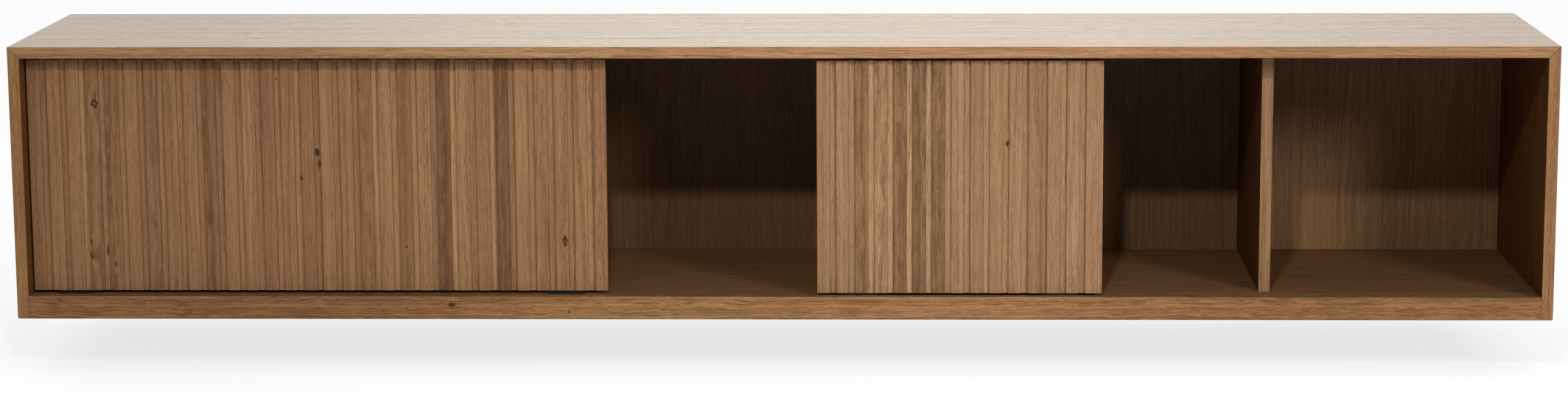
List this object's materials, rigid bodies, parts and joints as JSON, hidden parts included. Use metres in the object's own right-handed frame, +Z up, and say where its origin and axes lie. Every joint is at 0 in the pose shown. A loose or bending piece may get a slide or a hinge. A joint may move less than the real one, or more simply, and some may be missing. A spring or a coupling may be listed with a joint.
{
  "type": "floating media console",
  "caption": "Long low wall-hung oak case, open at the front, with a wide and a narrow slatted door that slide past each other.",
  "frame": {"origin": "on the wall plane, midway along the case, at the height of the wall screws through the hanging rails", "axes": "+X along the case towards its right end as seen from the room, +Y into the wall, +Z up"},
  "size_m": [2.54, 0.457, 0.454],
  "materials": {
    "oiled_oak": "wire-brushed, oiled, satin",
    "slatted_oak": "milled and brushed, oiled, matt",
    "interior_oak": "oiled veneer, matt",
    "plywood": "sanded, bare",
    "track_fibre": "smooth, matt",
    "black_nylon": "moulded, matt",
    "bronze_channel": "extruded, bronze anodised"
  },
  "bodies": {
    "case": {"top_panel": "oiled_oak", "left_side_panel": "oiled_oak", "right_side_panel": "oiled_oak", "floor_panel": "interior_oak", "front_bottom_rail": "oiled_oak", "rear_bottom_rail": "plywood", "left_cross_bearer": "plywood", "centre_cross_bearer": "plywood", "right_cross_bearer": "plywood", "left_divider": "interior_oak", "right_divider": "interior_oak", "left_back_panel": "interior_oak", "centre_back_panel": "interior_oak", "right_back_panel": "interior_oak", "left_hanging_rail": "plywood", "centre_hanging_rail": "plywood", "right_hanging_rail": "plywood", "upper_front_channel": "bronze_channel", "upper_rear_channel": "bronze_channel", "lower_front_track": "track_fibre", "lower_rear_track": "track_fibre", "upper_front_left_stop": "black_nylon", "upper_front_right_stop": "black_nylon", "upper_rear_left_stop": "black_nylon", "upper_rear_right_stop": "black_nylon"},
    "wide_door": {"wide_door_backing": "interior_oak", "wide_door_board_01": "slatted_oak", "wide_door_board_02": "slatted_oak", "wide_door_board_03": "slatted_oak", "wide_door_board_04": "slatted_oak", "wide_door_board_05": "slatted_oak", "wide_door_board_06": "slatted_oak", "wide_door_board_07": "slatted_oak", "wide_door_board_08": "slatted_oak", "wide_door_board_09": "slatted_oak", "wide_door_board_10": "slatted_oak", "wide_door_left_glide": "black_nylon", "wide_door_right_glide": "black_nylon", "wide_door_left_guide": "black_nylon", "wide_door_right_guide": "black_nylon"},
    "narrow_door": {"narrow_door_backing": "interior_oak", "narrow_door_board_01": "slatted_oak", "narrow_door_board_02": "slatted_oak", "narrow_door_board_03": "slatted_oak", "narrow_door_board_04": "slatted_oak", "narrow_door_board_05": "slatted_oak", "narrow_door_left_glide": "black_nylon", "narrow_door_right_glide": "black_nylon", "narrow_door_left_guide": "black_nylon", "narrow_door_right_guide": "black_nylon"}
  },
  "joints": [
    {"name": "wide_door_slide", "type": "slide", "parent": "case", "child": "wide_door", "axis": [1, 0, 0], "range_m": [0, 1.538]},
    {"name": "narrow_door_slide", "type": "slide", "parent": "case", "child": "narrow_door", "axis": [1, 0, 0], "range_m": [-1.307, 0.719]}
  ]
}
